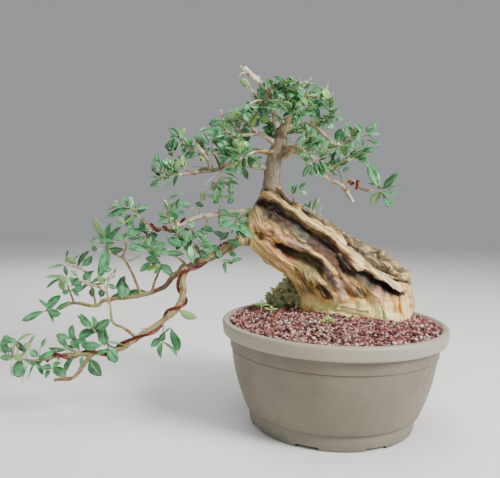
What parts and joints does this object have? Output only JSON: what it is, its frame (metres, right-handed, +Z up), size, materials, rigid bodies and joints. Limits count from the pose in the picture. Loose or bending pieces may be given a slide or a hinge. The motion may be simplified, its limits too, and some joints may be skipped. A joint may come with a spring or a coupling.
{
  "type": "potted bonsai tree",
  "caption": "Olive bonsai with a carved, slanting stump, a leafy crown and a wired trailing branch, in a round tapered training pot.",
  "frame": {"origin": "centre of the whole part's box, at the level of the surface that the pot stands on", "axes": "+Z up; +X from the tip of the trailing branch towards the pot; the picture looks along +Y"},
  "size_m": [0.542, 0.2686, 0.4362],
  "materials": {
    "pot": "matt moulded plastic, warm grey taupe",
    "soil": "red-brown lava grit",
    "wood": "carved and weathered olive wood with strips of bark",
    "wire": "copper-red anodised",
    "leaf": "leathery green leaves",
    "moss": "grey-green creeping growth"
  },
  "bodies": {
    "root": {"pot": "pot", "soil": "soil", "trunk": "wood", "wire_cascade": "wire", "wire_upper": "wire", "wire_right": "wire", "moss_clump": "moss", "seedling": "leaf", "spray_crown_01": "leaf", "spray_crown_02": "leaf", "spray_crown_03": "leaf", "spray_crown_04": "leaf", "spray_crown_05": "leaf", "spray_crown_06": "leaf", "spray_crown_08": "leaf", "spray_crown_09": "leaf", "spray_crown_10": "leaf", "spray_crown_13": "leaf", "spray_left_mid_01": "leaf", "spray_left_mid_02": "leaf", "spray_left_mid_03": "leaf", "spray_left_low_01": "leaf", "spray_left_low_02": "leaf", "spray_left_low_03": "leaf", "spray_left_low_04": "leaf", "spray_left_low_05": "leaf", "spray_left_low_06": "leaf", "spray_left_back_01": "leaf", "spray_back_01": "leaf", "spray_right_mid_01": "leaf", "spray_right_mid_02": "leaf", "spray_right_mid_04": "leaf", "spray_right_fork_01": "leaf", "spray_right_low_01": "leaf", "spray_right_end_01": "leaf", "spray_right_back_01": "leaf", "spray_right_front_01": "leaf", "spray_left_front_01": "leaf", "spray_bark_shoot": "leaf", "spray_upper_01": "leaf", "spray_upper_02": "leaf", "spray_upper_03": "leaf", "spray_upper_04": "leaf", "spray_upper_05": "leaf", "spray_mid_01": "leaf", "spray_mid_02": "leaf", "spray_mid_03": "leaf", "spray_left_peg_01": "leaf", "spray_left_riser_01": "leaf", "spray_branch_left_01": "leaf", "spray_branch_left_02": "leaf", "spray_rise_01": "leaf", "spray_fork_01": "leaf", "spray_down_shoot": "leaf", "spray_down_01": "leaf", "spray_down_02": "leaf", "spray_down_03": "leaf", "spray_down_04": "leaf"}
  },
  "joints": []
}
